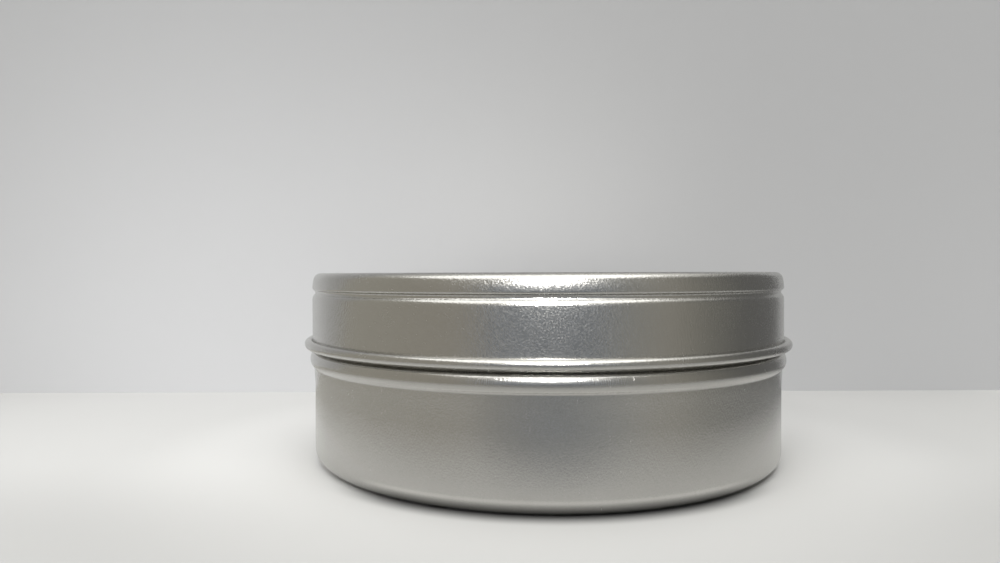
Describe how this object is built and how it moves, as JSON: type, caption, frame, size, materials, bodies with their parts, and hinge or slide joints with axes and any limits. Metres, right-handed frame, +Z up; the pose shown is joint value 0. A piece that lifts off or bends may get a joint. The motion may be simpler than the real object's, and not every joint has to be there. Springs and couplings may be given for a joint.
{
  "type": "candle tin",
  "caption": "Shallow round drawn tinplate candle tin with a grooved slip lid that lifts off, holding poured wax and a wick on a metal foot.",
  "frame": {"origin": "centre of the underside, on the plane the closed tin stands on", "axes": "+Z up along the tin's axis of revolution; the tin looks the same from every side, so +X and +Y are free choices"},
  "size_m": [0.0826, 0.0826, 0.0311],
  "materials": {
    "body_tinplate": "satin",
    "lid_tinplate": "satin",
    "wax": "satin",
    "tab_steel": "satin",
    "sticker_foam": "matte",
    "wick_cotton": "matte",
    "wick_paper": "matte"
  },
  "bodies": {
    "tin": {"tin_body": "body_tinplate", "wax_fill": "wax", "wick_tab": "tab_steel", "wick_sticker": "sticker_foam", "wick_braid": "wick_cotton", "wick_core": "wick_paper"},
    "lid": {"lid": "lid_tinplate"}
  },
  "joints": [
    {"name": "lid_lift", "type": "slide", "parent": "tin", "child": "lid", "axis": [0, 0, 1], "range_m": [0, 0.03]}
  ]
}
